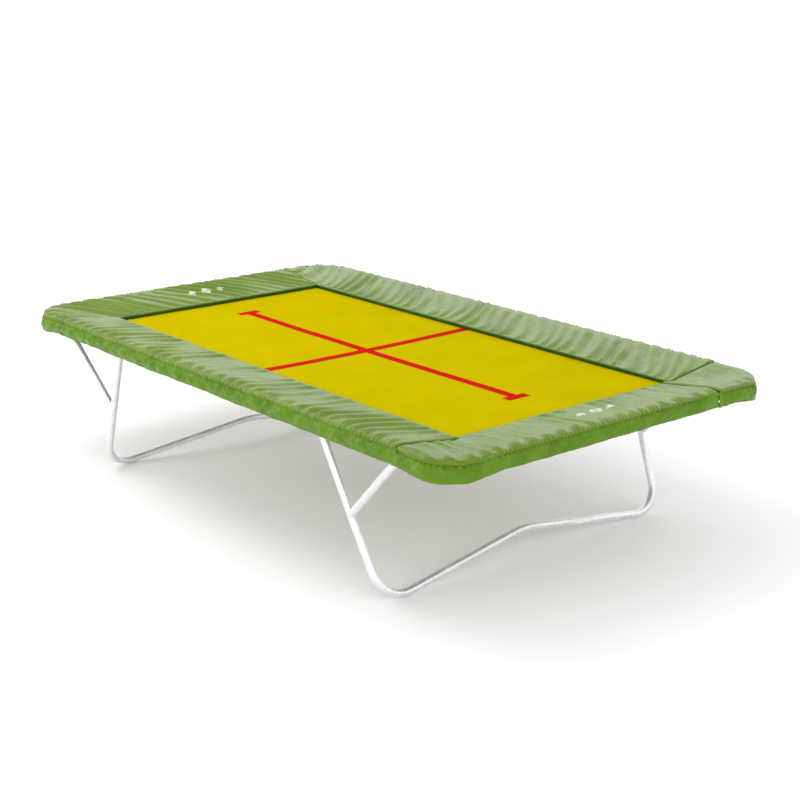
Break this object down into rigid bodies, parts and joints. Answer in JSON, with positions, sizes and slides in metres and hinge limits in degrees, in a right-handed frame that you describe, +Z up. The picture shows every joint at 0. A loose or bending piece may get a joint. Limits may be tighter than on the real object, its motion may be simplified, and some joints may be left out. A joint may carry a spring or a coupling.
{
  "type": "rectangular trampoline",
  "caption": "Rectangular trampoline with a sprung woven bed, padded vinyl frame covers with a skirt, and a bent-tube steel frame on splayed Y legs.",
  "frame": {"origin": "on the floor, under the middle of the bed", "axes": "+Z up; X along the long sides; Y along the short sides, with -Y the front long side"},
  "size_m": [4.6177, 2.796, 1.0978],
  "materials": {
    "galvanised_steel": "satin",
    "zinc_plate": "satin",
    "spring_steel": "satin",
    "cover_vinyl": "gloss",
    "foam": "matte",
    "bed_weave": "matte",
    "marking_tape": "matte",
    "webbing": "matte",
    "label_white": "matte"
  },
  "bodies": {
    "frame": {"base_label": "label_white", "base_tube_left": "galvanised_steel", "base_tube_right": "galvanised_steel", "frame_corner_back_left": "galvanised_steel", "frame_corner_back_right": "galvanised_steel", "frame_corner_front_left": "galvanised_steel", "frame_corner_front_right": "galvanised_steel", "frame_end_left": "galvanised_steel", "frame_end_right": "galvanised_steel", "frame_side_back_left": "galvanised_steel", "frame_side_back_right": "galvanised_steel", "frame_side_front_left": "galvanised_steel", "frame_side_front_right": "galvanised_steel", "joint_screws": "zinc_plate", "leg_brace_back_left": "galvanised_steel", "leg_brace_back_right": "galvanised_steel", "leg_brace_front_left": "galvanised_steel", "leg_brace_front_right": "galvanised_steel", "leg_sockets_back_left": "galvanised_steel", "leg_sockets_back_right": "galvanised_steel", "leg_sockets_front_left": "galvanised_steel", "leg_sockets_front_right": "galvanised_steel", "leg_upright_back_left": "galvanised_steel", "leg_upright_back_right": "galvanised_steel", "leg_upright_front_left": "galvanised_steel", "leg_upright_front_right": "galvanised_steel", "pad_cover_back": "cover_vinyl", "pad_cover_corner": "cover_vinyl", "pad_cover_front": "cover_vinyl", "pad_cover_left": "cover_vinyl", "pad_cover_right": "cover_vinyl", "pad_foam_back": "foam", "pad_foam_corner": "foam", "pad_foam_front": "foam", "pad_foam_left": "foam", "pad_foam_right": "foam", "pad_straps": "webbing", "skirt_stud": "label_white", "socket_bolts": "zinc_plate", "socket_nuts": "zinc_plate", "socket_washers": "zinc_plate", "spring_rods_back": "galvanised_steel", "spring_rods_front": "galvanised_steel", "spring_rods_left": "galvanised_steel", "spring_rods_right": "galvanised_steel", "springs_back": "spring_steel", "springs_front": "spring_steel", "springs_left": "spring_steel", "springs_right": "spring_steel"},
    "bed": {"bed_hem": "webbing", "bed_rings": "zinc_plate", "bed_sheet": "bed_weave", "marking_bar_left": "marking_tape", "marking_bar_right": "marking_tape", "marking_tape_cross": "marking_tape", "marking_tape_long": "marking_tape", "ring_loops": "webbing"}
  },
  "joints": [
    {"name": "bed_bounce", "type": "slide", "parent": "frame", "child": "bed", "axis": [0, 0, 1], "range_m": [-0.3, 0], "stiffness_N_per_m": 4000, "springref_m": 0.06, "deforming": ["springs_back", "springs_front", "springs_left", "springs_right"]}
  ]
}
